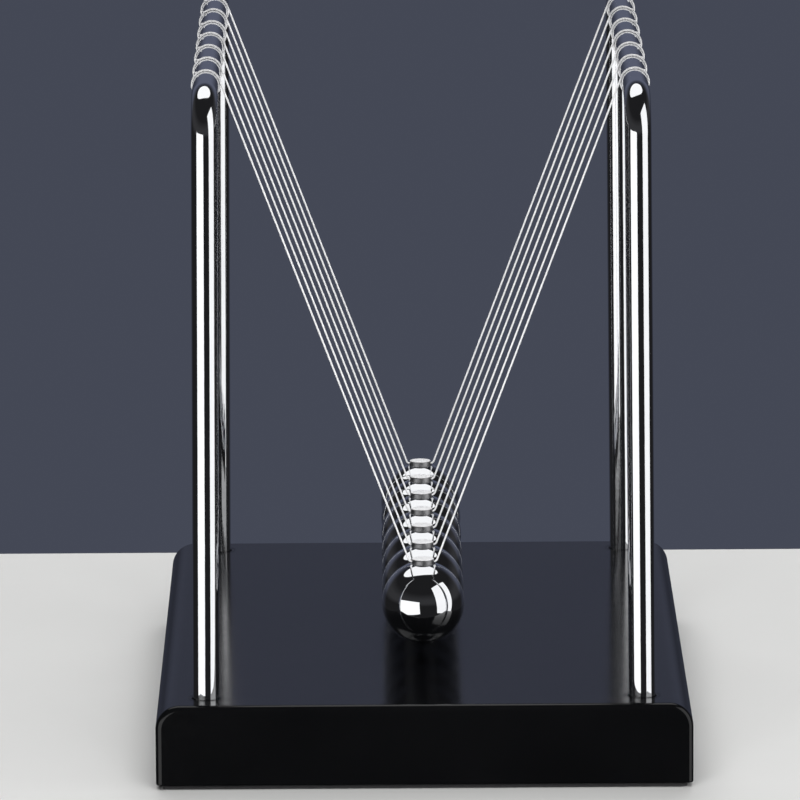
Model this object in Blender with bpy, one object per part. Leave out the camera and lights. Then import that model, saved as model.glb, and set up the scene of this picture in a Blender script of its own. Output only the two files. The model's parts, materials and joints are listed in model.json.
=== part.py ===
"""A newton's cradle with seven balls, modelled at its real size in metres.

X runs across the row of balls, Y along it from the front to the rear, and Z up.
The origin is on the table, under the middle of the base.
"""

import math

import bmesh
import bpy
from mathutils import Matrix, Vector

# Clearance that pieces keep from each other where they would touch
GAP = 0.0003

# Base block and the pad that it stands on
BASE_WIDTH = 0.141
BASE_DEPTH = 0.211
BASE_TOP = 0.0226
CORNER_RADIUS = 0.0016
SHOULDER_RADIUS = 0.0063
PAD_THICKNESS = 0.001
PAD_INSET = 0.0015

# Frame rods: each is one rod bent into a front post, a rail and a rear post
ROD_RADIUS = 0.0035
BEND_RADIUS = 0.010
RAIL_HEIGHT = 0.1813
RAIL_OFFSET = 0.0563
FOOT_OFFSET = 0.0573
POST_OFFSET = 0.095
SOCKET_DEPTH = 0.012
WEB_THICKNESS = 0.0022

# Screws and washers that hold the rods from beneath
SCREW_RADIUS = 0.0018
SCREW_REACH = 0.010
TAPPED_DEPTH = 0.011
HEAD_RADIUS = 0.0036
HEAD_HEIGHT = 0.0024
RECESS_RADIUS = 0.0015
RECESS_DEPTH = 0.0012
RECESS_SIDES = 6
WASHER_RADIUS = 0.0045
WASHER_THICKNESS = 0.0008
COUNTERBORE_RADIUS = 0.0052

# Balls and the lugs that their strings run through
BALL_COUNT = 7
BALL_RADIUS = 0.011
BALL_HEIGHT = 0.042
SEAT_HEIGHT = 0.0098
LUG_RADIUS = 0.003
LUG_RISE = 0.0118
LUG_CHAMFER = 0.0003
SPIGOT_RADIUS = 0.0015
SPIGOT_LENGTH = 0.004
HOLE_RADIUS = 0.00055
HOLE_DROP = 0.0008

# Strings
STRING_RADIUS = 0.00025
STRING_BEND_RADIUS = 0.001
WRAP_TURNS = 1.7
WRAP_PITCH = 0.0009

# How finely round shapes are divided
ROD_SIDES = 16
BALL_SIDES = 20
BALL_RINGS = 11
SMALL_SIDES = 12
BEND_STEPS = 6
EDGE_STEPS = 4
WRAP_STEPS = 17
STRING_BEND_STEPS = 4
STRING_FACETS = 2
WRAP_FACETS = 1

BALL_PITCH = 2 * BALL_RADIUS + GAP
BASE_BOTTOM = PAD_THICKNESS + GAP
WEB_TOP = BASE_TOP - SOCKET_DEPTH
WEB_BOTTOM = WEB_TOP - WEB_THICKNESS
LEAN = math.atan((FOOT_OFFSET - RAIL_OFFSET) / (RAIL_HEIGHT - BASE_TOP))

# Each string leaves its lug at a corner, and runs straight to touch the inner side of the rail
CORNER_OFFSET = LUG_RADIUS + GAP + STRING_RADIUS
CORNER_HEIGHT = BALL_HEIGHT + LUG_RISE - HOLE_DROP
WRAP_RADIUS = ROD_RADIUS + GAP + STRING_RADIUS
REACH_OUT = RAIL_OFFSET - CORNER_OFFSET
REACH_UP = RAIL_HEIGHT - CORNER_HEIGHT
STRING_ANGLE = math.atan2(REACH_OUT, REACH_UP) - math.asin(WRAP_RADIUS / math.hypot(REACH_OUT, REACH_UP))
PIVOT_OFFSET = RAIL_OFFSET - WRAP_RADIUS * math.cos(STRING_ANGLE)
PIVOT_HEIGHT = RAIL_HEIGHT + WRAP_RADIUS * math.sin(STRING_ANGLE)

SIDES = (("left", -1), ("right", 1))


def clear_scene():
    """Removes every object that the file opened with."""
    for thing in list(bpy.data.objects):
        bpy.data.objects.remove(thing)


def make_material(name, colour, roughness, metallic):
    """A Principled BSDF material of one finish."""
    material = bpy.data.materials.new(name)
    material.use_nodes = True
    shader = material.node_tree.nodes["Principled BSDF"]
    shader.inputs["Base Color"].default_value = (*colour, 1.0)
    shader.inputs["Roughness"].default_value = roughness
    shader.inputs["Metallic"].default_value = metallic
    return material


def place(name, data, location=(0, 0, 0), parent=None):
    """Links a mesh, a curve or an empty to the scene as one named object."""
    thing = bpy.data.objects.new(name, data)
    thing.location = location
    thing.parent = parent
    bpy.context.scene.collection.objects.link(thing)
    return thing


def finish_mesh(name, shape, material=None):
    """Turns a bmesh into a mesh, smooth on its round faces."""
    bmesh.ops.recalc_face_normals(shape, faces=shape.faces)
    mesh = bpy.data.meshes.new(name)
    shape.to_mesh(mesh)
    shape.free()
    mesh.shade_smooth()
    mesh.set_sharp_from_angle(angle=math.radians(35))
    if material:
        mesh.materials.append(material)
    return mesh


def turned_mesh(name, outline, sides, material=None, ring=False):
    """Turns an outline of (radius, height) points about Z. A ring's outline is closed."""
    shape = bmesh.new()
    points = [shape.verts.new((radius, 0, height)) for radius, height in outline]
    ends = list(zip(points, points[1:]))
    if ring:
        ends.append((points[-1], points[0]))
    edges = [shape.edges.new(pair) for pair in ends]
    bmesh.ops.spin(
        shape, geom=points + edges, cent=(0, 0, 0), axis=(0, 0, 1), angle=math.tau, steps=sides
    )
    bmesh.ops.remove_doubles(shape, verts=shape.verts, dist=0.00001)
    return finish_mesh(name, shape, material)


def rounded_block(name, width, depth, bottom, top, material, shoulder_radius=0):
    """A block with round upright corners. A shoulder radius rounds its long top edges, and its end rims too."""
    shape = bmesh.new()
    size = Matrix.Diagonal((width, depth, top - bottom, 1))
    rise = Matrix.Translation((0, 0, (top + bottom) / 2))
    bmesh.ops.create_cube(shape, size=1, matrix=rise @ size)
    middle = (top + bottom) / 2
    if shoulder_radius:
        upper = [edge for edge in shape.edges if all(end.co.z > middle for end in edge.verts)]
        long = [edge for edge in upper if edge.verts[0].co.x == edge.verts[1].co.x]
        round_edges(shape, long, shoulder_radius)
    ends = [face for face in shape.faces if abs(face.normal.y) > 0.5]
    rims = {edge for face in ends for edge in face.edges}
    if shoulder_radius:
        rounded = [edge for edge in rims if any(end.co.z > middle for end in edge.verts)]
    else:
        rounded = [edge for edge in rims if edge.verts[0].co.xy == edge.verts[1].co.xy]
    round_edges(shape, rounded, CORNER_RADIUS)
    return finish_mesh(name, shape, material)


def round_edges(shape, edges, radius):
    """Rounds the given edges of a bmesh."""
    bmesh.ops.bevel(
        shape, geom=list(edges), offset=radius, segments=EDGE_STEPS, profile=0.5, affect="EDGES"
    )


def cut(thing, cutter):
    """Subtracts a cutter from an object, and keeps the cutter out of sight."""
    cutter.hide_render = True
    cutter.display_type = "WIRE"
    modifier = thing.modifiers.new(cutter.name, "BOOLEAN")
    modifier.operation = "DIFFERENCE"
    modifier.solver = "EXACT"
    modifier.object = cutter


def string_curve(name, points, facets, material):
    """A round string along a list of points, with flat ends."""
    curve = bpy.data.curves.new(name, "CURVE")
    curve.dimensions = "3D"
    curve.bevel_depth = STRING_RADIUS
    curve.bevel_resolution = facets
    curve.use_fill_caps = True
    spline = curve.splines.new("POLY")
    spline.points.add(len(points) - 1)
    for target, point in zip(spline.points, points):
        target.co = (*point, 1.0)
    curve.materials.append(material)
    return curve


def feet():
    """The four places where a rod enters the base."""
    return [(side * FOOT_OFFSET, end * POST_OFFSET) for _, side in SIDES for end in (-1, 1)]


def make_base(wood, felt):
    """The block, with a stepped bore for each rod end, and the pad beneath it."""
    block = rounded_block(
        "base", BASE_WIDTH, BASE_DEPTH, BASE_BOTTOM, BASE_TOP, wood, SHOULDER_RADIUS
    )
    base = place("base", block)
    socket = ROD_RADIUS + GAP
    hole = SCREW_RADIUS + GAP
    outline = [
        (0, BASE_TOP + GAP),
        (socket, BASE_TOP + GAP),
        (socket, WEB_TOP),
        (hole, WEB_TOP),
        (hole, WEB_BOTTOM),
        (COUNTERBORE_RADIUS, WEB_BOTTOM),
        (COUNTERBORE_RADIUS, 0),
        (0, 0),
    ]
    bore = turned_mesh("bore", outline, ROD_SIDES)
    for number, (x, y) in enumerate(feet(), 1):
        cut(base, place(f"bore_cutter_{number}", bore, (x, y, 0)))
    pad_width = BASE_WIDTH - 2 * PAD_INSET
    pad_depth = BASE_DEPTH - 2 * PAD_INSET
    pad = rounded_block("base_pad", pad_width, pad_depth, 0, PAD_THICKNESS, felt)
    place("base_pad", pad)


def ring_of(geometry):
    """The vertices and edges in what a bmesh operator returns."""
    return [item for item in geometry if not isinstance(item, bmesh.types.BMFace)]


def carry_on(shape, ring, step):
    """Extends an open tube straight on from its last ring, and returns the new last ring."""
    edges = [item for item in ring if isinstance(item, bmesh.types.BMEdge)]
    made = bmesh.ops.extrude_edge_only(shape, edges=edges)["geom"]
    points = [item for item in made if isinstance(item, bmesh.types.BMVert)]
    bmesh.ops.translate(shape, verts=points, vec=step)
    edges = [
        item
        for item in made
        if isinstance(item, bmesh.types.BMEdge) and all(end in points for end in item.verts)
    ]
    return points + edges


def bend_on(shape, ring, centre):
    """Bends an open tube forwards through a right angle, and returns the new last ring."""
    made = bmesh.ops.spin(
        shape, geom=ring, cent=centre, axis=(1, 0, 0), angle=-math.pi / 2, steps=BEND_STEPS
    )
    return ring_of(made["geom_last"])


def rod_mesh(chrome):
    """A rod in the YZ plane, with its origin level with the top of the base and midway between its feet."""
    foot = WEB_TOP + GAP - BASE_TOP
    bend = (RAIL_HEIGHT - BASE_TOP) / math.cos(LEAN) - BEND_RADIUS
    inner = POST_OFFSET - BEND_RADIUS
    shape = bmesh.new()
    start = Matrix.Translation((0, -POST_OFFSET, foot))
    bmesh.ops.create_circle(shape, segments=ROD_SIDES, radius=ROD_RADIUS, matrix=start)
    ring = list(shape.verts) + list(shape.edges)
    ring = carry_on(shape, ring, (0, 0, bend - foot))
    ring = bend_on(shape, ring, (0, -inner, bend))
    ring = carry_on(shape, ring, (0, 2 * inner, 0))
    ring = bend_on(shape, ring, (0, inner, bend))
    carry_on(shape, ring, (0, 0, foot - bend))
    open_edges = [edge for edge in shape.edges if edge.is_boundary]
    bmesh.ops.holes_fill(shape, edges=open_edges)
    return finish_mesh("frame_rod", shape, chrome)


def make_frame(chrome):
    """The two rods, each leaning in a little towards the balls and tapped in both ends."""
    mesh = rod_mesh(chrome)
    foot = WEB_TOP + GAP - BASE_TOP
    tapped = SCREW_RADIUS + GAP
    outline = [(0, foot - GAP), (tapped, foot - GAP), (tapped, foot + TAPPED_DEPTH), (0, foot + TAPPED_DEPTH)]
    bore = turned_mesh("tapped_hole", outline, SMALL_SIDES)
    for name, side in SIDES:
        rod = place(f"{name}_frame_rod", mesh, (side * FOOT_OFFSET, 0, BASE_TOP))
        rod.rotation_euler = (0, -side * LEAN, 0)
        for end_name, end in (("front", -1), ("rear", 1)):
            cutter = place(f"{name}_{end_name}_tap_cutter", bore, (0, end * POST_OFFSET, 0), rod)
            cut(rod, cutter)


def make_fixings(steel):
    """A socket screw and a washer under each rod end, inside the base."""
    washer_top = WEB_BOTTOM - GAP
    washer_bottom = washer_top - WASHER_THICKNESS
    head_top = washer_bottom - GAP
    head_bottom = head_top - HEAD_HEIGHT
    tip = WEB_TOP + SCREW_REACH
    screw_outline = [
        (0, head_bottom),
        (HEAD_RADIUS, head_bottom),
        (HEAD_RADIUS, head_top),
        (SCREW_RADIUS, head_top),
        (SCREW_RADIUS, tip),
        (0, tip),
    ]
    hole = SCREW_RADIUS + GAP
    washer_outline = [
        (hole, washer_bottom),
        (WASHER_RADIUS, washer_bottom),
        (WASHER_RADIUS, washer_top),
        (hole, washer_top),
    ]
    recess_outline = [
        (0, head_bottom - GAP),
        (RECESS_RADIUS, head_bottom - GAP),
        (RECESS_RADIUS, head_bottom + RECESS_DEPTH),
        (0, head_bottom + RECESS_DEPTH),
    ]
    screw = turned_mesh("frame_screw", screw_outline, SMALL_SIDES, steel)
    washer = turned_mesh("frame_washer", washer_outline, SMALL_SIDES, steel, ring=True)
    recess = turned_mesh("screw_recess", recess_outline, RECESS_SIDES)
    for number, (x, y) in enumerate(feet(), 1):
        fitted = place(f"frame_screw_{number}", screw, (x, y, 0))
        cut(fitted, place(f"recess_cutter_{number}", recess, (x, y, 0)))
        place(f"frame_washer_{number}", washer, (x, y, 0))


def ball_mesh(chrome):
    """A ball about its own centre, with the seat and the hole for its lug."""
    seat_radius = LUG_RADIUS + GAP
    bore = SPIGOT_RADIUS + GAP
    bottom = SEAT_HEIGHT - SPIGOT_LENGTH - GAP
    rim = math.acos(seat_radius / BALL_RADIUS)
    outline = []
    for step in range(BALL_RINGS + 1):
        angle = -math.pi / 2 + (rim + math.pi / 2) * step / BALL_RINGS
        outline.append((BALL_RADIUS * math.cos(angle), BALL_RADIUS * math.sin(angle)))
    outline += [(seat_radius, SEAT_HEIGHT), (bore, SEAT_HEIGHT), (bore, bottom), (0, bottom)]
    return turned_mesh("ball", outline, BALL_SIDES, chrome)


def lug_mesh(steel):
    """A lug about the centre of its ball: a flat-topped stud on a spigot."""
    shoulder = SEAT_HEIGHT + GAP
    bottom = SEAT_HEIGHT - SPIGOT_LENGTH
    outline = [
        (0, bottom),
        (SPIGOT_RADIUS, bottom),
        (SPIGOT_RADIUS, shoulder),
        (LUG_RADIUS, shoulder),
        (LUG_RADIUS, LUG_RISE - LUG_CHAMFER),
        (LUG_RADIUS - LUG_CHAMFER, LUG_RISE),
        (0, LUG_RISE),
    ]
    return turned_mesh("ball_lug", outline, SMALL_SIDES, steel)


def cross_hole_mesh():
    """The cutter for the hole through a lug, along X."""
    shape = bmesh.new()
    bmesh.ops.create_cone(
        shape,
        cap_ends=True,
        segments=SMALL_SIDES,
        radius1=HOLE_RADIUS,
        radius2=HOLE_RADIUS,
        depth=2 * CORNER_OFFSET,
        matrix=Matrix.Rotation(math.pi / 2, 4, "Y"),
    )
    return finish_mesh("cross_hole", shape)


def rounded_corner(before, corner, after):
    """Points round a corner of the string, on an arc that touches both straights."""
    back = (before - corner).normalized()
    on = (after - corner).normalized()
    half = back.angle(on) / 2
    centre = corner + (back + on).normalized() * STRING_BEND_RADIUS / math.sin(half)
    first = (corner + back * STRING_BEND_RADIUS / math.tan(half) - centre).normalized()
    last = (corner + on * STRING_BEND_RADIUS / math.tan(half) - centre).normalized()
    shares = [step / STRING_BEND_STEPS for step in range(STRING_BEND_STEPS + 1)]
    return [centre + STRING_BEND_RADIUS * first.slerp(last, share) for share in shares]


def string_route():
    """A string from the left rail through the lug to the right rail, about the axis that it swings on."""
    drop = CORNER_HEIGHT - PIVOT_HEIGHT
    ends = [Vector((side * PIVOT_OFFSET, 0, 0)) for _, side in SIDES]
    corners = [Vector((side * CORNER_OFFSET, 0, drop)) for _, side in SIDES]
    left_turn = rounded_corner(ends[0], corners[0], corners[1])
    right_turn = rounded_corner(corners[0], corners[1], ends[1])
    return [ends[0], *left_turn, *right_turn, ends[1]]


def wrap_route(side, advance):
    """The turns of a string about a rail: in over the top, down the outer side and round."""
    start = math.pi - STRING_ANGLE - (GAP + STRING_RADIUS) / WRAP_RADIUS
    route = []
    for step in range(WRAP_STEPS + 1):
        turns = WRAP_TURNS * step / WRAP_STEPS
        angle = start - math.tau * turns
        x = side * WRAP_RADIUS * math.cos(angle)
        z = WRAP_RADIUS * math.sin(angle)
        route.append(Vector((x, advance * WRAP_PITCH * turns, z)))
    return route


def make_pendulums(chrome, steel, nylon):
    """Seven balls with their lugs and strings, each hung from an empty on its swing axis."""
    ball = ball_mesh(chrome)
    lug = lug_mesh(steel)
    cross_hole = cross_hole_mesh()
    string = string_curve("string", string_route(), STRING_FACETS, nylon)
    centre = (0, 0, BALL_HEIGHT - PIVOT_HEIGHT)
    hole = (0, 0, CORNER_HEIGHT - PIVOT_HEIGHT)
    middle = (BALL_COUNT + 1) / 2
    for number in range(1, BALL_COUNT + 1):
        y = (number - middle) * BALL_PITCH
        hanger = place(f"ball_{number}_hanger", None, (0, y, PIVOT_HEIGHT))
        place(f"ball_{number}", ball, centre, hanger)
        fitted = place(f"ball_lug_{number}", lug, centre, hanger)
        cut(fitted, place(f"cross_hole_cutter_{number}", cross_hole, hole, hanger))
        place(f"string_{number}", string, (0, 0, 0), hanger)
        advance = 1 if number <= middle else -1
        for name, side in SIDES:
            wrap_name = f"{name}_string_wrap_{number}"
            wrap = string_curve(wrap_name, wrap_route(side, advance), WRAP_FACETS, nylon)
            place(wrap_name, wrap, (side * RAIL_OFFSET, y, RAIL_HEIGHT))


def main():
    """Builds the whole cradle."""
    clear_scene()
    chrome = make_material("chrome", (0.78, 0.78, 0.80), 0.05, 1.0)
    steel = make_material("steel", (0.60, 0.60, 0.62), 0.25, 1.0)
    wood = make_material("black_lacquer", (0.006, 0.006, 0.008), 0.08, 0.0)
    felt = make_material("black_felt", (0.015, 0.015, 0.016), 0.95, 0.0)
    nylon = make_material("nylon", (0.86, 0.87, 0.90), 0.25, 0.0)
    make_base(wood, felt)
    make_frame(chrome)
    make_fixings(steel)
    make_pendulums(chrome, steel, nylon)


main()
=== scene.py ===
"""The looks of a newton's cradle with seven balls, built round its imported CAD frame."""

import json
import math

import bmesh
import bpy
from mathutils import Matrix, Vector


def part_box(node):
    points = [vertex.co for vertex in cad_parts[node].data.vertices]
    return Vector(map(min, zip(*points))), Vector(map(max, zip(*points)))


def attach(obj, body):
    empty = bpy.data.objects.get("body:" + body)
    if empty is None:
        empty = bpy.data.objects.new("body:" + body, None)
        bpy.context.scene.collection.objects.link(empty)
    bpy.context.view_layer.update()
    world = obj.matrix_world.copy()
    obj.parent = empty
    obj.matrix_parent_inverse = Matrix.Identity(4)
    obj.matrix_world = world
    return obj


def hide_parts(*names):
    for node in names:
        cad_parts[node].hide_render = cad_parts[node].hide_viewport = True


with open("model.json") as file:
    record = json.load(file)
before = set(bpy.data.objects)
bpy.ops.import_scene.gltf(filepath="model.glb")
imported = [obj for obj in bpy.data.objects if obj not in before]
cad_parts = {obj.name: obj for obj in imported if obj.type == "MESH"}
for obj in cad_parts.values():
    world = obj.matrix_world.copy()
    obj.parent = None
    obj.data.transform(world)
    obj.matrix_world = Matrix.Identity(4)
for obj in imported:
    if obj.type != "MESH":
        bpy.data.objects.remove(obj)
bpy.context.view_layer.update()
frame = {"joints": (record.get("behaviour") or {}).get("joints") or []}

MM = 0.001

# Camera: where it stands, how it is turned in degrees, and its focal length in millimetres
CAMERA_PLACE = Vector((-10.66, -2370.9, 537.4)) * MM
CAMERA_PITCH = 10.83
CAMERA_YAW = 0.12
CAMERA_ROLL = -0.335
CAMERA_LENS = 399.2

# Stage: distances in metres, and the radiances of the lights. BEHIND and the GLOW ranges are lengths
# of a unit direction along Y and Z, over which the surround changes.
FLOOR_REACH = 200 * MM
FLOOR_DROP = 0.05 * MM
FRONT_COLOUR = (0.014, 0.014, 0.015)
SLATE_COLOUR = (0.041, 0.0452, 0.0648)
WALL_COLOUR = (0.0585, 0.0655, 0.0915)
BEHIND = (0.6, 0.95)
GLOW = 2.6
GLOW_RISES = (-0.02, 0.12)
GLOW_FALLS = (0.28, 0.55)
LIGHT_DISTANCE = 1.2
LIGHT_AIM = Vector((0, 0, 0.06))
LEFT_RADIANCE = 1.25
RIGHT_RADIANCE = 1.12
OVERHEAD_RADIANCE = 0.9
OVERHEAD_OFFSET = 0.14
FRONT_FILL_RADIANCE = 5.0
REAR_FILL_RADIANCE = 3.0
FILL_ELEVATION = 35

# Shapes in general
SHARP_ANGLE = 35
ROUND_END_STEPS = 5
GAP = 0.3 * MM
CUT_MARGIN = 1 * MM

# Frame rods
ROD_RADIUS = 3.5 * MM
ROD_BEND_RADIUS = 10 * MM
ROD_END_CHAMFER = 0.4 * MM
ROD_SIDES = 64
ROD_BEND_STEPS = 28
TAPPED_RADIUS = 2.1 * MM
TAPPED_DEPTH = 11.3 * MM
POST_SHARES = (0, 0.02, 0.1, 0.3, 0.5, 0.7, 0.9)
RAIL_SHARES = (-0.75, -0.5, -0.25, 0, 0.25, 0.5, 0.75)

# Base and pad
CORNER_RADIUS = 1.6 * MM
CORNER_STEPS = 8
SHOULDER_RADIUS = 6.3 * MM
SHOULDER_STEPS = 24
BOTTOM_EDGE_RADIUS = 0.4 * MM
PAD_EDGE_RADIUS = 0.25 * MM
SMALL_EDGE_STEPS = 3
SOCKET_RADIUS = 3.8 * MM
SOCKET_CHAMFER = 0.15 * MM
GROOVE_RADIUS = 4.7 * MM
GROOVE_HALF_WIDTH = 0.12 * MM
GROOVE_DEPTH = 0.12 * MM
COUNTERBORE_RADIUS = 5.2 * MM
CLEARANCE_RADIUS = 2.1 * MM
BORE_SIDES = 64

# Screws and washers
SCREW_RADIUS = 1.8 * MM
THREAD_PITCH = 0.7 * MM
THREAD_DEPTH = 0.36 * MM
THREAD_LENGTH = 10 * MM
THREAD_STEPS = 8
THREAD_SHARP_ANGLE = 50
TIP_TAPER = 0.25 * MM
TIP_LENGTH = 0.5 * MM
TIP_STEP = 0.0001 * MM
SCREW_SIDES = 36
SCREW_EDGE = 0.1 * MM
HEAD_CHAMFER = 0.35 * MM
RECESS_SIDES = 6
RECESS_SHARP_ANGLE = 20
RECESS_RADIUS = 1.5 * MM
RECESS_DEPTH = 1.2 * MM
RECESS_CHAMFER = 0.15 * MM
RECESS_CHAMFER_TOP = 0.05 * MM
RECESS_CONE = 0.4 * MM
WASHER_SIDES = 64
WASHER_EDGE = 0.12 * MM

# Balls and lugs
BALL_SIDES = 96
BALL_RINGS = 56
SEAT_HEIGHT = 9.8 * MM
SEAT_CHAMFER = 0.12 * MM
SPIGOT_RADIUS = 1.5 * MM
SPIGOT_LENGTH = 4 * MM
LUG_CHAMFER = 0.3 * MM
LUG_CHAMFER_STEPS = 4
LUG_SIDES = 64
HOLE_RADIUS = 0.55 * MM
HOLE_DROP = 0.8 * MM
HOLE_FLARE = 0.2 * MM
HOLE_SIDES = 32

# Strings, and the height over which they change from hanging to wound; the wound turns are painted darker
# there, as painted shade
STRING_RADIUS = 0.25 * MM
STRING_SIDES = 16
STRING_BEND_RADIUS = 1.0 * MM
STRING_BEND_STEPS = 8
STRAIGHT_SHARES = (0.25, 0.5, 0.75)
WRAP_TURNS = 1.31
WRAP_STEPS = 120
WRAP_SIDES = 14
WRAP_SHIFT = 0.52 * MM
TAIL_TURNS = 0.035
TAIL_LIFT = 0.35 * MM
WOUND_BOTTOM = 181 * MM
WOUND_TOP = 183 * MM
# How much darker the wound turns are painted: painted shade
WOUND_PAINTED_SHADE = 0.22

SIDES = (("left", -1), ("right", 1))
FEET = range(1, 5)
BALLS = range(1, len(frame["joints"]) + 1)


# ---------------------------------------------------------------- places taken from the frame

def middle(node):
    """The middle of a CAD node's box."""
    low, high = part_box(node)
    return (low + high) / 2


def joint_place(number):
    """The point that a ball swings about, on its axis."""
    return Vector(frame["joints"][number - 1]["pos_m"])


def rod_axis(side):
    """The foot and the rail ends of a rod's centreline, and how far its posts stand from the middle."""
    low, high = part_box("left_frame_rod" if side < 0 else "right_frame_rod")
    rail_x = (high.x - ROD_RADIUS) if side < 0 else (low.x + ROD_RADIUS)
    foot_x = (low.x + ROD_RADIUS) if side < 0 else (high.x - ROD_RADIUS)
    foot = Vector((foot_x, 0, low.z))
    rail = Vector((rail_x, 0, high.z - ROD_RADIUS))
    return foot, rail, high.y - ROD_RADIUS


# ---------------------------------------------------------------- mesh tools

def link(name, data, place=(0, 0, 0)):
    """Puts a mesh or a curve in the scene as one named object."""
    thing = bpy.data.objects.new(name, data)
    thing.location = place
    bpy.context.scene.collection.objects.link(thing)
    return thing


def to_mesh(name, shape, sharp=SHARP_ANGLE):
    """Turns a bmesh into a mesh, smooth except across sharp edges."""
    bmesh.ops.recalc_face_normals(shape, faces=shape.faces)
    mesh = bpy.data.meshes.new(name)
    shape.to_mesh(mesh)
    shape.free()
    mesh.shade_smooth()
    mesh.set_sharp_from_angle(angle=math.radians(sharp))
    return mesh


def rings_to_mesh(name, rings, sides, sharp=SHARP_ANGLE):
    """Skins a row of rings: (centre, across, up, radius, way along) each. Radius 0 makes a point."""
    shape = bmesh.new()
    uv = shape.loops.layers.uv.new("along")
    rows = []
    for centre, across, up, radius, way in rings:
        if radius == 0:
            rows.append(([shape.verts.new(centre)] * sides, way))
            continue
        row = []
        for step in range(sides):
            angle = math.tau * step / sides
            spoke = math.cos(angle) * across + math.sin(angle) * up
            row.append(shape.verts.new(centre + radius * spoke))
        rows.append((row, way))
    for (first, way_1), (second, way_2) in zip(rows, rows[1:]):
        for step in range(sides):
            after = (step + 1) % sides
            corners = [first[step], first[after], second[after], second[step]]
            places = [(step, way_1), (step + 1, way_1), (step + 1, way_2), (step, way_2)]
            kept = [k for k in range(4) if corners[k] is not corners[k - 1]]
            if len(kept) < 3:
                continue
            face = shape.faces.new([corners[k] for k in kept])
            for loop, k in zip(face.loops, kept):
                loop[uv].uv = (places[k][0] / sides, places[k][1])
    return to_mesh(name, shape, sharp)


def turned(name, outline, sides, sharp=SHARP_ANGLE):
    """Turns an outline of (radius, height) points about Z."""
    across, up = Vector((1, 0, 0)), Vector((0, 1, 0))
    rings = [(Vector((0, 0, z)), across, up, radius, z) for radius, z in outline]
    return rings_to_mesh(name, rings, sides, sharp)


def turned_thread(name, outline, sides, sharp, thread):
    """Turns an open outline about Z and closes its ends. thread(radius, height, angle) gives each radius."""
    shape = bmesh.new()
    rows = []
    for radius, z in outline:
        row = []
        for step in range(sides):
            angle = math.tau * step / sides
            r = thread(radius, z, angle)
            row.append(shape.verts.new((r * math.cos(angle), r * math.sin(angle), z)))
        rows.append(row)
    for first, second in zip(rows, rows[1:]):
        for step in range(sides):
            after = (step + 1) % sides
            shape.faces.new((first[step], first[after], second[after], second[step]))
    shape.faces.new(rows[0])
    shape.faces.new(rows[-1])
    return to_mesh(name, shape, sharp)


def ring_mesh(name, outline, sides):
    """Turns a closed outline that stays clear of Z into a ring."""
    shape = bmesh.new()
    rows = []
    for step in range(sides):
        angle = math.tau * step / sides
        rows.append([shape.verts.new((r * math.cos(angle), r * math.sin(angle), z)) for r, z in outline])
    count = len(outline)
    for step in range(sides):
        here, there = rows[step], rows[(step + 1) % sides]
        for k in range(count):
            after = (k + 1) % count
            shape.faces.new((here[k], here[after], there[after], there[k]))
    return to_mesh(name, shape)


def directions(path):
    """The unit direction of a path at each of its points."""
    last = len(path) - 1
    return [(path[min(k + 1, last)] - path[max(k - 1, 0)]).normalized() for k in range(last + 1)]


def round_end(radius):
    """The end of a tube as a half ball."""
    end = [(-radius, 0)]
    for step in range(1, ROUND_END_STEPS + 1):
        angle = math.pi / 2 * step / ROUND_END_STEPS
        end.append((-radius * math.cos(angle), radius * math.sin(angle)))
    return end


def tube(name, path, radius, sides, end, up=Vector((0, 1, 0))):
    """A tube along a path. end lists (distance in from the end, radius) from the axis outwards."""
    ways = [0.0]
    for before, after in zip(path, path[1:]):
        ways.append(ways[-1] + (after - before).length)
    heading = directions(path)
    rings = []
    across = heading[0].cross(up).normalized()
    frames = []
    for direction in heading:
        across = (across - across.dot(direction) * direction).normalized()
        frames.append((across, direction.cross(across)))
    for back, size in end:
        rings.append((path[0] + back * heading[0], *frames[0], size, back))
    for k in range(1, len(path) - 1):
        rings.append((path[k], *frames[k], radius, ways[k]))
    for back, size in reversed(end):
        rings.append((path[-1] - back * heading[-1], *frames[-1], size, ways[-1] - back))
    return rings_to_mesh(name, rings, sides)


def arc(centre, start, end, radius, steps):
    """Points on an arc about a centre, from one unit direction to another."""
    return [centre + radius * start.slerp(end, step / steps) for step in range(steps + 1)]


def block(name, low, high, edge_radius, shoulder_radius=0):
    """A block with round upright corners, or with round long top edges and softened end rims."""
    shape = bmesh.new()
    size = high - low
    centre = (low + high) / 2
    place = Matrix.Translation(centre) @ Matrix.Diagonal((*size, 1))
    bmesh.ops.create_cube(shape, size=1, matrix=place)

    def soften(edges, radius, steps):
        bmesh.ops.bevel(
            shape, geom=list(edges), offset=radius, segments=steps, profile=0.5, affect="EDGES"
        )

    if shoulder_radius:
        upper = [edge for edge in shape.edges if all(end.co.z > centre.z for end in edge.verts)]
        shoulders = [edge for edge in upper if edge.verts[0].co.x == edge.verts[1].co.x]
        soften(shoulders, shoulder_radius, SHOULDER_STEPS)
    rims = {edge for face in shape.faces if abs(face.normal.y) > 0.5 for edge in face.edges}
    if shoulder_radius:
        rounded_rims = [edge for edge in rims if any(end.co.z > centre.z for end in edge.verts)]
    else:
        rounded_rims = [edge for edge in rims if edge.verts[0].co.xy == edge.verts[1].co.xy]
    soften(rounded_rims, CORNER_RADIUS, CORNER_STEPS)
    for way in (-1,) if shoulder_radius else (-1, 1):
        flat = max(shape.faces, key=lambda face: way * face.calc_center_median().z)
        soften(flat.edges, edge_radius, SMALL_EDGE_STEPS)
    return to_mesh(name, shape)


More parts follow.
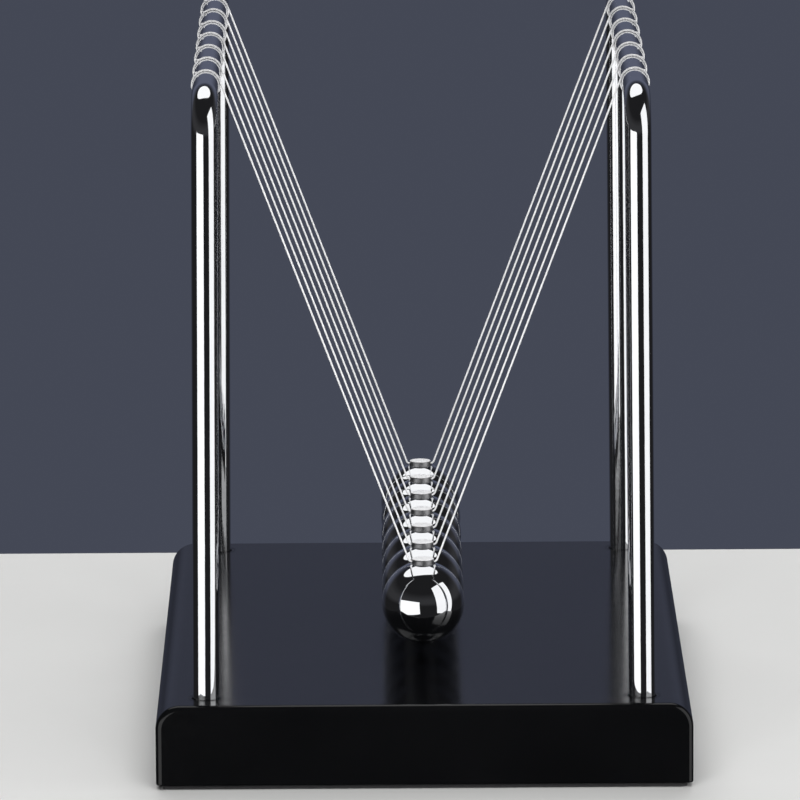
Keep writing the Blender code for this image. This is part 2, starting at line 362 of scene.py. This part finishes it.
def cut(thing, cutters):
    """The thing's mesh with the cutters taken away from it."""
    for cutter in cutters:
        modifier = thing.modifiers.new(cutter.name, "BOOLEAN")
        modifier.operation = "DIFFERENCE"
        modifier.solver = "EXACT"
        modifier.object = cutter
    graph = bpy.context.evaluated_depsgraph_get()
    mesh = bpy.data.meshes.new_from_object(thing.evaluated_get(graph))
    thing.modifiers.clear()
    thing.data = mesh
    for cutter in cutters:
        bpy.data.objects.remove(cutter)
    mesh.shade_smooth()
    mesh.set_sharp_from_angle(angle=math.radians(SHARP_ANGLE))


def flatten_shading(thing):
    """Keeps big flat faces flat where they run into round edges."""
    modifier = thing.modifiers.new("flat_faces", "WEIGHTED_NORMAL")
    modifier.keep_sharp = True
    modifier.weight = 100


def finish_piece(thing, material, body, node):
    """Gives a piece its material and its body, and hides the CAD node that it stands for."""
    thing.data.materials.clear()
    thing.data.materials.append(material)
    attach(thing, body)
    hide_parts(node)


# ---------------------------------------------------------------- materials

def node_maker(tree):
    """A function that adds a node to a tree and sets its properties."""
    def add(kind, **settings):
        node = tree.nodes.new(kind)
        for key, value in settings.items():
            setattr(node, key, value)
        return node

    return add


def new_material(name):
    """A material with its links, its Principled BSDF and a maker of further nodes."""
    material = bpy.data.materials.new(name)
    material.use_nodes = True
    tree = material.node_tree
    return material, tree.links, tree.nodes["Principled BSDF"], node_maker(tree)


def spread(links, add, source, low, high, source_low=0.0, source_high=1.0):
    """Maps a value from one range to another, clamped."""
    node = add("ShaderNodeMapRange")
    links.new(source, node.inputs["Value"])
    node.inputs["From Min"].default_value = source_low
    node.inputs["From Max"].default_value = source_high
    node.inputs["To Min"].default_value = low
    node.inputs["To Max"].default_value = high
    return node.outputs["Result"]


def blend(links, add, share, first, second):
    """Mixes two colours by a share. A colour is three numbers or another node's socket."""
    node = add("ShaderNodeMix", data_type="RGBA")
    links.new(share, node.inputs["Factor"])
    sockets = [socket for socket in node.inputs if socket.type == "RGBA"]
    for socket, colour in zip(sockets, (first, second)):
        if isinstance(colour, tuple):
            socket.default_value = (*colour, 1)
        else:
            links.new(colour, socket)
    return next(socket for socket in node.outputs if socket.type == "RGBA")


def calculate(links, add, operation, *values):
    """A sum of the given kind over sockets and plain numbers."""
    node = add("ShaderNodeMath", operation=operation)
    for socket, value in zip(node.inputs, values):
        if isinstance(value, float):
            socket.default_value = value
        else:
            links.new(value, socket)
    return node.outputs["Value"]


def bump(links, add, shader, height, strength, distance):
    """Raises the surface by a height."""
    node = add("ShaderNodeBump")
    node.inputs["Strength"].default_value = strength
    node.inputs["Distance"].default_value = distance
    links.new(height, node.inputs["Height"])
    links.new(node.outputs["Normal"], shader.inputs["Normal"])


def noise(links, add, coordinate, scale, detail, stretch=None):
    """Noise over a coordinate, stretched along its axes where asked."""
    node = add("ShaderNodeTexNoise")
    node.inputs["Scale"].default_value = scale
    node.inputs["Detail"].default_value = detail
    if stretch:
        mapping = add("ShaderNodeMapping")
        mapping.inputs["Scale"].default_value = stretch
        links.new(coordinate, mapping.inputs["Vector"])
        coordinate = mapping.outputs["Vector"]
    links.new(coordinate, node.inputs["Vector"])
    return node.outputs["Fac"]


def chrome(name, bright, dull, smooth, rough, wave, wave_scale):
    """Bright chrome plate: a faint tint and polish that vary, hairlines, and a little waviness."""
    material, links, shader, add = new_material(name)
    place = add("ShaderNodeTexCoord").outputs["Object"]
    shader.inputs["Metallic"].default_value = 1.0
    cloud = noise(links, add, place, scale=90, detail=3)
    links.new(blend(links, add, cloud, dull, bright), shader.inputs["Base Color"])
    fine = noise(links, add, place, scale=900, detail=6)
    links.new(spread(links, add, fine, smooth, rough, 0.35, 0.75), shader.inputs["Roughness"])
    ripple = noise(links, add, place, scale=wave_scale, detail=2)
    bump(links, add, shader, ripple, strength=1.0, distance=wave)
    return material


def lug_metal():
    """Turned steel with fine rings: dull and mottled on its wall, and satin on top, where its colour is
    painted near white as a painted highlight.
    """
    material, links, shader, add = new_material("lug_steel")
    place = add("ShaderNodeTexCoord").outputs["Object"]
    rings = add("ShaderNodeTexWave", wave_type="RINGS", rings_direction="Z")
    rings.inputs["Scale"].default_value = 1400
    rings.inputs["Distortion"].default_value = 0.4
    links.new(place, rings.inputs["Vector"])
    split = add("ShaderNodeSeparateXYZ")
    links.new(add("ShaderNodeTexCoord").outputs["Normal"], split.inputs["Vector"])
    top = spread(links, add, split.outputs["Z"], 0.0, 1.0, 0.6, 0.95)
    mottle = noise(links, add, place, scale=700, detail=4)
    wall = blend(links, add, mottle, (0.26, 0.26, 0.27), (0.48, 0.48, 0.49))
    # Painted highlight: the upward faces are coloured near white over the mottled wall colour.
    links.new(blend(links, add, top, wall, (0.93, 0.93, 0.94)), shader.inputs["Base Color"])
    links.new(spread(links, add, top, 0.45, 0.6), shader.inputs["Roughness"])
    links.new(spread(links, add, top, 1.0, 0.4), shader.inputs["Metallic"])
    bump(links, add, shader, rings.outputs["Fac"], strength=0.25, distance=0.00001)
    return material


def lacquer():
    """Black high-gloss lacquer over wood: a little orange peel, and faint clouds in its polish."""
    material, links, shader, add = new_material("black_lacquer")
    place = add("ShaderNodeTexCoord").outputs["Object"]
    cloud = noise(links, add, place, scale=35, detail=5)
    tint = blend(links, add, cloud, (0.0018, 0.0019, 0.0022), (0.004, 0.0041, 0.0046))
    links.new(tint, shader.inputs["Base Color"])
    fine = noise(links, add, place, scale=600, detail=5)
    links.new(spread(links, add, fine, 0.10, 0.16, 0.3, 0.7), shader.inputs["Roughness"])
    shader.inputs["IOR"].default_value = 1.4
    peel = noise(links, add, place, scale=260, detail=2)
    bump(links, add, shader, peel, strength=0.4, distance=0.00002)
    return material


def felt():
    """Short black felt: matted fibres with a dusty sheen."""
    material, links, shader, add = new_material("black_felt")
    place = add("ShaderNodeTexCoord").outputs["Object"]
    fibre = noise(links, add, place, scale=1500, detail=8, stretch=(1, 0.25, 1))
    cross = noise(links, add, place, scale=1500, detail=8, stretch=(0.25, 1, 1))
    nap = calculate(links, add, "MAXIMUM", fibre, cross)
    tint = blend(links, add, nap, (0.008, 0.008, 0.009), (0.05, 0.05, 0.052))
    links.new(tint, shader.inputs["Base Color"])
    shader.inputs["Roughness"].default_value = 0.95
    shader.inputs["Sheen Weight"].default_value = 0.4
    shader.inputs["Sheen Roughness"].default_value = 0.5
    bump(links, add, shader, nap, strength=0.8, distance=0.0002)
    return material


def zinc():
    """Zinc-plated steel: spangled, a little yellow and blue, with turning marks."""
    material, links, shader, add = new_material("fixing_steel")
    place = add("ShaderNodeTexCoord").outputs["Object"]
    shader.inputs["Metallic"].default_value = 1.0
    cloud = noise(links, add, place, scale=420, detail=4)
    tint = blend(links, add, cloud, (0.50, 0.51, 0.54), (0.68, 0.67, 0.62))
    links.new(tint, shader.inputs["Base Color"])
    fine = noise(links, add, place, scale=1500, detail=5)
    links.new(spread(links, add, fine, 0.22, 0.42, 0.3, 0.7), shader.inputs["Roughness"])
    bump(links, add, shader, fine, strength=0.4, distance=0.00003)
    return material


def nylon():
    """Clear nylon line: cloudy white where it hangs, and clearer and painted darker where it is wound, as
    painted shade, with faint clouds.
    """
    material, links, shader, add = new_material("clear_nylon")
    place = add("ShaderNodeTexCoord").outputs["Object"]
    cloud = noise(links, add, place, scale=500, detail=4)
    split = add("ShaderNodeSeparateXYZ")
    links.new(place, split.inputs["Vector"])
    wound = spread(links, add, split.outputs["Z"], 0.0, 1.0, WOUND_BOTTOM, WOUND_TOP)
    faint = spread(links, add, cloud, 0.85, 1.0)
    # Painted shade: the wound turns are coloured darker than the hanging line, over the faint clouds.
    cloud_and_painted_shade = calculate(links, add, "MULTIPLY_ADD", wound, -WOUND_PAINTED_SHADE, faint)
    tint = blend(links, add, cloud_and_painted_shade, (0.10, 0.10, 0.11), (0.98, 0.98, 0.99))
    links.new(tint, shader.inputs["Base Color"])
    fine = noise(links, add, place, scale=1600, detail=3)
    links.new(spread(links, add, fine, 0.18, 0.34, 0.3, 0.7), shader.inputs["Roughness"])
    shader.inputs["IOR"].default_value = 1.53
    links.new(spread(links, add, wound, 0.1, 0.35), shader.inputs["Transmission Weight"])
    bump(links, add, shader, fine, strength=0.3, distance=0.00001)
    return material


# ---------------------------------------------------------------- camera and stage

def make_camera():
    """The camera, at the angle that the object is seen from."""
    pitch, yaw, roll = (math.radians(value) for value in (CAMERA_PITCH, CAMERA_YAW, CAMERA_ROLL))
    level_ahead = Vector((math.sin(yaw), math.cos(yaw), 0))
    ahead = level_ahead * math.cos(pitch) - Vector((0, 0, math.sin(pitch)))
    right = Vector((math.cos(yaw), -math.sin(yaw), 0))
    up = right.cross(ahead)
    level = Matrix((right, up, -ahead)).transposed()
    camera = bpy.data.objects.new("camera", bpy.data.cameras.new("camera"))
    camera.data.lens = CAMERA_LENS
    turn = level @ Matrix.Rotation(roll, 3, "Z")
    camera.matrix_world = Matrix.Translation(CAMERA_PLACE) @ turn.to_4x4()
    bpy.context.scene.collection.objects.link(camera)
    bpy.context.scene.camera = camera


def make_light(name, azimuth, elevation, width, height, radiance, shape="RECTANGLE"):
    """A softbox that faces the cradle. Azimuth is measured from the front, positive to the right.

    An ellipse gives off the power of the rectangle round it.
    """
    turn, rise = math.radians(azimuth), math.radians(elevation)
    level_away = Vector((math.sin(turn), -math.cos(turn), 0))
    away = level_away * math.cos(rise) + Vector((0, 0, math.sin(rise)))
    light = bpy.data.lights.new(name, "AREA")
    light.shape = shape
    light.size = width
    light.size_y = height
    light.energy = radiance * math.pi * width * height
    thing = bpy.data.objects.new(name, light)
    thing.location = LIGHT_AIM + away * LIGHT_DISTANCE
    thing.rotation_mode = "QUATERNION"
    thing.rotation_quaternion = away.to_track_quat("Z", "Y")
    thing.visible_camera = False
    bpy.context.scene.collection.objects.link(thing)
    return thing


def make_surround():
    """A slate wall. In reflections it is nearly black in front, and lightest low down behind."""
    world = bpy.data.worlds.new("surround")
    world.use_nodes = True
    tree = world.node_tree
    links, add = tree.links, node_maker(tree)
    background = tree.nodes["Background"]
    split = add("ShaderNodeSeparateXYZ")
    links.new(add("ShaderNodeTexCoord").outputs["Generated"], split.inputs["Vector"])
    behind = spread(links, add, split.outputs["Y"], 0.0, 1.0, *BEHIND)
    mirrored = blend(links, add, behind, FRONT_COLOUR, SLATE_COLOUR)
    direct = add("ShaderNodeLightPath").outputs["Is Camera Ray"]
    colour = blend(links, add, direct, mirrored, WALL_COLOUR)
    links.new(colour, background.inputs["Color"])
    rise = spread(links, add, split.outputs["Z"], 1.0, GLOW, *GLOW_RISES)
    fall = spread(links, add, split.outputs["Z"], 1.0, 1 / GLOW, *GLOW_FALLS)
    strength = calculate(links, add, "MULTIPLY", rise, fall)
    links.new(strength, background.inputs["Strength"])
    bpy.context.scene.world = world


def make_stage():
    """A pale floor, the surround, three softboxes, and two fill lights that only matt surfaces show."""
    material, links, shader, add = new_material("pale_floor")
    place = add("ShaderNodeTexCoord").outputs["Object"]
    cloud = noise(links, add, place, scale=12, detail=5)
    tint = blend(links, add, cloud, (0.62, 0.62, 0.61), (0.67, 0.67, 0.66))
    links.new(tint, shader.inputs["Base Color"])
    shader.inputs["Roughness"].default_value = 0.7
    shape = bmesh.new()
    bmesh.ops.create_grid(shape, x_segments=1, y_segments=1, size=FLOOR_REACH)
    floor = link("floor", to_mesh("floor", shape), (0, 0, -FLOOR_DROP))
    floor.data.materials.append(material)
    floor.visible_glossy = False

    make_surround()
    make_light(
        "left_softbox", azimuth=-37.7, elevation=-7, width=1.28, height=0.75, radiance=LEFT_RADIANCE
    )
    make_light(
        "right_softbox", azimuth=60, elevation=14, width=1.1, height=1.7, radiance=RIGHT_RADIANCE
    )
    overhead = make_light(
        "top_softbox", azimuth=180, elevation=69, width=1.5, height=0.95,
        radiance=OVERHEAD_RADIANCE, shape="ELLIPSE",
    )
    overhead.location.x -= OVERHEAD_OFFSET
    for name, azimuth, radiance in (
        ("front_fill", 0, FRONT_FILL_RADIANCE),
        ("rear_fill", 180, REAR_FILL_RADIANCE),
    ):
        fill = make_light(name, azimuth, FILL_ELEVATION, 1.0, 1.0, radiance)
        fill.visible_glossy = False
    bpy.context.scene.view_settings.view_transform = "Standard"


# ---------------------------------------------------------------- the object

def string_corners(number):
    """Where a string leaves the rails, where it turns into its lug, and its lean, left to right."""
    lug_low, lug_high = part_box(f"ball_lug_{number}")
    pivot = joint_place(number)
    offset = (lug_high.x - lug_low.x) / 2 + GAP + STRING_RADIUS
    height = lug_high.z - HOLE_DROP
    corners = [Vector((side * offset, pivot.y, height)) for _, side in SIDES]
    ends = []
    for corner, (_, side) in zip(corners, SIDES):
        rail = rod_axis(side)[1]
        out = side * rail.x - offset
        up = rail.z - height
        reach = ROD_RADIUS + STRING_RADIUS
        angle = math.atan2(out, up) - math.asin(reach / math.hypot(out, up))
        inward = side * reach * math.cos(angle)
        ends.append(Vector((rail.x - inward, pivot.y, rail.z + reach * math.sin(angle))))
    return ends, corners, angle


def rounded(before, corner, after, radius, steps):
    """Points round a corner, on an arc that touches both straights."""
    back = (before - corner).normalized()
    on = (after - corner).normalized()
    half = back.angle(on) / 2
    centre = corner + (back + on).normalized() * radius / math.sin(half)
    reach = radius / math.tan(half)
    first = (corner + back * reach - centre).normalized()
    last = (corner + on * reach - centre).normalized()
    return arc(centre, first, last, radius, steps)


def make_strings(material):
    """Seven strings, each from the left rail down through its lug and up to the right rail."""
    for number in BALLS:
        ends, corners, _ = string_corners(number)
        left = rounded(ends[0], corners[0], corners[1], STRING_BEND_RADIUS, STRING_BEND_STEPS)
        right = rounded(corners[0], corners[1], ends[1], STRING_BEND_RADIUS, STRING_BEND_STEPS)
        path = [ends[0]]
        path += [ends[0].lerp(left[0], share) for share in STRAIGHT_SHARES]
        path += left + right
        path += [right[-1].lerp(ends[1], share) for share in STRAIGHT_SHARES]
        path.append(ends[1])
        mesh = tube(f"string_line_{number}", path, STRING_RADIUS, STRING_SIDES, round_end(STRING_RADIUS))
        piece = link(f"string_line_{number}", mesh)
        finish_piece(piece, material, f"pendulum_{number}", f"string_{number}")


def make_wraps(material):
    """The turns of each string round its rail, side by side, with a cut end that stands up a little."""
    count = len(BALLS)
    for number in BALLS:
        _, _, angle = string_corners(number)
        way = 1 if number <= (count + 1) / 2 else -1
        for name, side in SIDES:
            rail = rod_axis(side)[1]
            y = joint_place(number).y
            path = []
            for step in range(WRAP_STEPS + 1):
                turns = WRAP_TURNS * step / WRAP_STEPS
                around = math.pi - angle - math.tau * turns
                shift = WRAP_SHIFT * turns
                tail = max(0, 1 - (WRAP_TURNS - turns) / TAIL_TURNS)
                radius = ROD_RADIUS + STRING_RADIUS + TAIL_LIFT * tail ** 2
                path.append(Vector((
                    rail.x + side * radius * math.cos(around),
                    y + way * shift,
                    rail.z + radius * math.sin(around),
                )))
            node = f"{name}_string_wrap_{number}"
            mesh = tube(node, path, STRING_RADIUS, WRAP_SIDES, round_end(STRING_RADIUS))
            piece = link(f"{name}_rail_turns_{number}", mesh)
            finish_piece(piece, material, "root", node)


def rod_path(foot, rail, post):
    """The centreline of a rod, from its front foot over the rail to its rear foot."""
    rise = (rail - foot).normalized()
    length = (rail - foot).length
    along = Vector((0, 1, 0))
    inner = post - ROD_BEND_RADIUS
    bend = length - ROD_BEND_RADIUS
    front = foot - post * along
    path = [front + rise * bend * share for share in POST_SHARES]
    path += arc(foot - inner * along + rise * bend, -along, rise, ROD_BEND_RADIUS, ROD_BEND_STEPS)
    path += [foot + rise * length + along * inner * share for share in RAIL_SHARES]
    path += arc(foot + inner * along + rise * bend, rise, along, ROD_BEND_RADIUS, ROD_BEND_STEPS)
    rear = foot + post * along
    path += [rear + rise * bend * share for share in reversed(POST_SHARES)]
    return path


def make_rods(material):
    """The two bent rods, tapped in both ends."""
    end = [
        (TAPPED_DEPTH, 0),
        (TAPPED_DEPTH, TAPPED_RADIUS),
        (0, TAPPED_RADIUS),
        (0, ROD_RADIUS - ROD_END_CHAMFER),
        (ROD_END_CHAMFER, ROD_RADIUS),
    ]
    for name, side in SIDES:
        path = rod_path(*rod_axis(side))
        mesh = tube(f"{name}_rod", path, ROD_RADIUS, ROD_SIDES, end, Vector((1, 0, 0)))
        piece = link(f"{name}_rod", mesh)
        finish_piece(piece, material, "root", f"{name}_frame_rod")


def make_base(wood, cloth):
    """The lacquered block with a stepped bore and a fine groove at each foot, and the pad under it."""
    low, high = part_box("base")
    piece = link("base_block", block("base_block", low, high, BOTTOM_EDGE_RADIUS, SHOULDER_RADIUS))
    web_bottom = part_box("frame_washer_1")[1].z + GAP
    web_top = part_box("left_frame_rod")[0].z - GAP
    outline = [
        (0, high.z + CUT_MARGIN),
        (SOCKET_RADIUS + SOCKET_CHAMFER + CUT_MARGIN, high.z + CUT_MARGIN),
        (SOCKET_RADIUS, high.z - SOCKET_CHAMFER),
        (SOCKET_RADIUS, web_top),
        (CLEARANCE_RADIUS, web_top),
        (CLEARANCE_RADIUS, web_bottom),
        (COUNTERBORE_RADIUS, web_bottom),
        (COUNTERBORE_RADIUS, low.z - CUT_MARGIN),
        (0, low.z - CUT_MARGIN),
    ]
    groove = [
        (GROOVE_RADIUS - 2 * GROOVE_HALF_WIDTH, high.z + GROOVE_DEPTH),
        (GROOVE_RADIUS + 2 * GROOVE_HALF_WIDTH, high.z + GROOVE_DEPTH),
        (GROOVE_RADIUS, high.z - GROOVE_DEPTH),
    ]
    cutters = []
    for number in FEET:
        spot = middle(f"frame_screw_{number}")
        foot = (spot.x, spot.y, 0)
        cutters.append(link(f"bore_{number}", turned("bore", outline, BORE_SIDES), foot))
        cutters.append(link(f"groove_{number}", ring_mesh("groove", groove, BORE_SIDES), foot))
    cut(piece, cutters)
    flatten_shading(piece)
    finish_piece(piece, wood, "root", "base")
    low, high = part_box("base_pad")
    pad = link("felt_pad", block("felt_pad", low, high, PAD_EDGE_RADIUS))
    flatten_shading(pad)
    finish_piece(pad, cloth, "root", "base_pad")


def screw_mesh(low, tip, head_radius, head_top):
    """A socket screw with a real thread, its head down, about its own axis."""
    outline = [
        (head_radius - HEAD_CHAMFER, low),
        (head_radius, low + HEAD_CHAMFER),
        (head_radius, head_top - SCREW_EDGE),
        (head_radius - SCREW_EDGE, head_top),
        (SCREW_RADIUS + SCREW_EDGE, head_top),
        (SCREW_RADIUS, head_top + SCREW_EDGE),
    ]
    start = tip - THREAD_LENGTH
    steps = round(THREAD_LENGTH / THREAD_PITCH * THREAD_STEPS)
    for step in range(steps + 1):
        outline.append((SCREW_RADIUS, start + THREAD_LENGTH * step / steps))
    outline.append((SCREW_RADIUS - THREAD_DEPTH - SCREW_EDGE, tip + TIP_STEP))

    def thread(radius, height, angle):
        if not start <= height <= tip:
            return radius
        turn = (height / THREAD_PITCH - angle / math.tau) % 1
        depth = THREAD_DEPTH * abs(2 * turn - 1)
        fade = min(1, (height - start) / THREAD_PITCH)
        taper = TIP_TAPER * max(0, 1 - (tip - height) / TIP_LENGTH)
        return radius - depth * fade - taper

    return turned_thread("socket_screw", outline, SCREW_SIDES, THREAD_SHARP_ANGLE, thread)


def make_fixings(material):
    """The socket screws and the washers under the rod ends."""
    low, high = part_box("frame_screw_1")
    washer_low, washer_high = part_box("frame_washer_1")
    first = link("screw_blank", screw_mesh(low.z, high.z, (high.x - low.x) / 2, washer_low.z - GAP))
    recess = [
        (0, low.z - CUT_MARGIN),
        (RECESS_RADIUS + RECESS_CHAMFER, low.z - RECESS_CHAMFER),
        (RECESS_RADIUS, low.z + RECESS_CHAMFER_TOP),
        (RECESS_RADIUS, low.z + RECESS_DEPTH),
        (0, low.z + RECESS_DEPTH + RECESS_CONE),
    ]
    cut(first, [link("hexagon", turned("hexagon", recess, RECESS_SIDES, RECESS_SHARP_ANGLE))])
    screw = first.data
    bpy.data.objects.remove(first)
    outer = (washer_high.x - washer_low.x) / 2
    washer_outline = [
        (CLEARANCE_RADIUS, washer_low.z),
        (outer - WASHER_EDGE, washer_low.z),
        (outer, washer_low.z + WASHER_EDGE),
        (outer, washer_high.z - WASHER_EDGE),
        (outer - WASHER_EDGE, washer_high.z),
        (CLEARANCE_RADIUS, washer_high.z),
    ]
    washer = ring_mesh("washer", washer_outline, WASHER_SIDES)
    for number in FEET:
        spot = middle(f"frame_screw_{number}")
        piece = link(f"socket_screw_{number}", screw, (spot.x, spot.y, 0))
        finish_piece(piece, material, "root", f"frame_screw_{number}")
        ring = link(f"washer_{number}", washer, (spot.x, spot.y, 0))
        finish_piece(ring, material, "root", f"frame_washer_{number}")


def make_balls(plate, steel):
    """Seven polished balls, each with the drilled lug that its string runs through."""
    low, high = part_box("ball_1")
    ball_radius = (high.x - low.x) / 2
    lug_low, lug_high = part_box("ball_lug_1")
    lug_radius = (lug_high.x - lug_low.x) / 2
    centre_height = low.z + ball_radius
    rise = lug_high.z - centre_height
    seat = lug_radius + GAP
    bore = SPIGOT_RADIUS + GAP
    hole_bottom = SEAT_HEIGHT - SPIGOT_LENGTH - GAP
    rim = math.acos((seat + SEAT_CHAMFER) / ball_radius)
    outline = [(0, -ball_radius)]
    for step in range(1, BALL_RINGS + 1):
        angle = -math.pi / 2 + (rim + math.pi / 2) * step / BALL_RINGS
        outline.append((ball_radius * math.cos(angle), ball_radius * math.sin(angle)))
    edge = ball_radius * math.sin(rim)
    outline += [(seat, edge - SEAT_CHAMFER), (seat, SEAT_HEIGHT)]
    outline += [(bore, SEAT_HEIGHT), (bore, hole_bottom), (0, hole_bottom)]
    ball = turned("ball", outline, BALL_SIDES)
    shoulder = SEAT_HEIGHT + GAP
    stud = [
        (0, SEAT_HEIGHT - SPIGOT_LENGTH),
        (SPIGOT_RADIUS, SEAT_HEIGHT - SPIGOT_LENGTH),
        (SPIGOT_RADIUS, shoulder),
        (lug_radius, shoulder),
    ]
    for step in range(LUG_CHAMFER_STEPS + 1):
        angle = math.pi / 2 * step / LUG_CHAMFER_STEPS
        stud.append((
            lug_radius - LUG_CHAMFER * (1 - math.cos(angle)),
            rise - LUG_CHAMFER * (1 - math.sin(angle)),
        ))
    stud.append((0, rise))
    blank = link("lug_blank", turned("lug", stud, LUG_SIDES))
    hole = [
        (0, -lug_radius - CUT_MARGIN),
        (HOLE_RADIUS + HOLE_FLARE + CUT_MARGIN, -lug_radius - CUT_MARGIN),
        (HOLE_RADIUS, -lug_radius + HOLE_FLARE),
        (HOLE_RADIUS, lug_radius - HOLE_FLARE),
        (HOLE_RADIUS + HOLE_FLARE + CUT_MARGIN, lug_radius + CUT_MARGIN),
        (0, lug_radius + CUT_MARGIN),
    ]
    drill = link("drill", turned("drill", hole, HOLE_SIDES), (0, 0, rise - HOLE_DROP))
    drill.rotation_euler = (0, math.pi / 2, 0)
    bpy.context.view_layer.update()
    cut(blank, [drill])
    lug = blank.data
    bpy.data.objects.remove(blank)
    for number in BALLS:
        spot = middle(f"ball_{number}")
        centre = (spot.x, spot.y, centre_height)
        piece = link(f"steel_ball_{number}", ball, centre)
        finish_piece(piece, plate, f"pendulum_{number}", f"ball_{number}")
        stud_piece = link(f"string_lug_{number}", lug, centre)
        finish_piece(stud_piece, steel, f"pendulum_{number}", f"ball_lug_{number}")


make_camera()
line = nylon()
make_strings(line)
make_wraps(line)
make_rods(chrome(
    "frame_chrome", bright=(0.86, 0.87, 0.89), dull=(0.78, 0.79, 0.81),
    smooth=0.035, rough=0.09, wave=0.00003, wave_scale=220,
))
make_base(lacquer(), felt())
make_fixings(zinc())
ball_chrome = chrome(
    "ball_chrome", bright=(0.84, 0.85, 0.87), dull=(0.76, 0.77, 0.79),
    smooth=0.02, rough=0.05, wave=0.000003, wave_scale=150,
)
make_balls(ball_chrome, lug_metal())
make_stage()
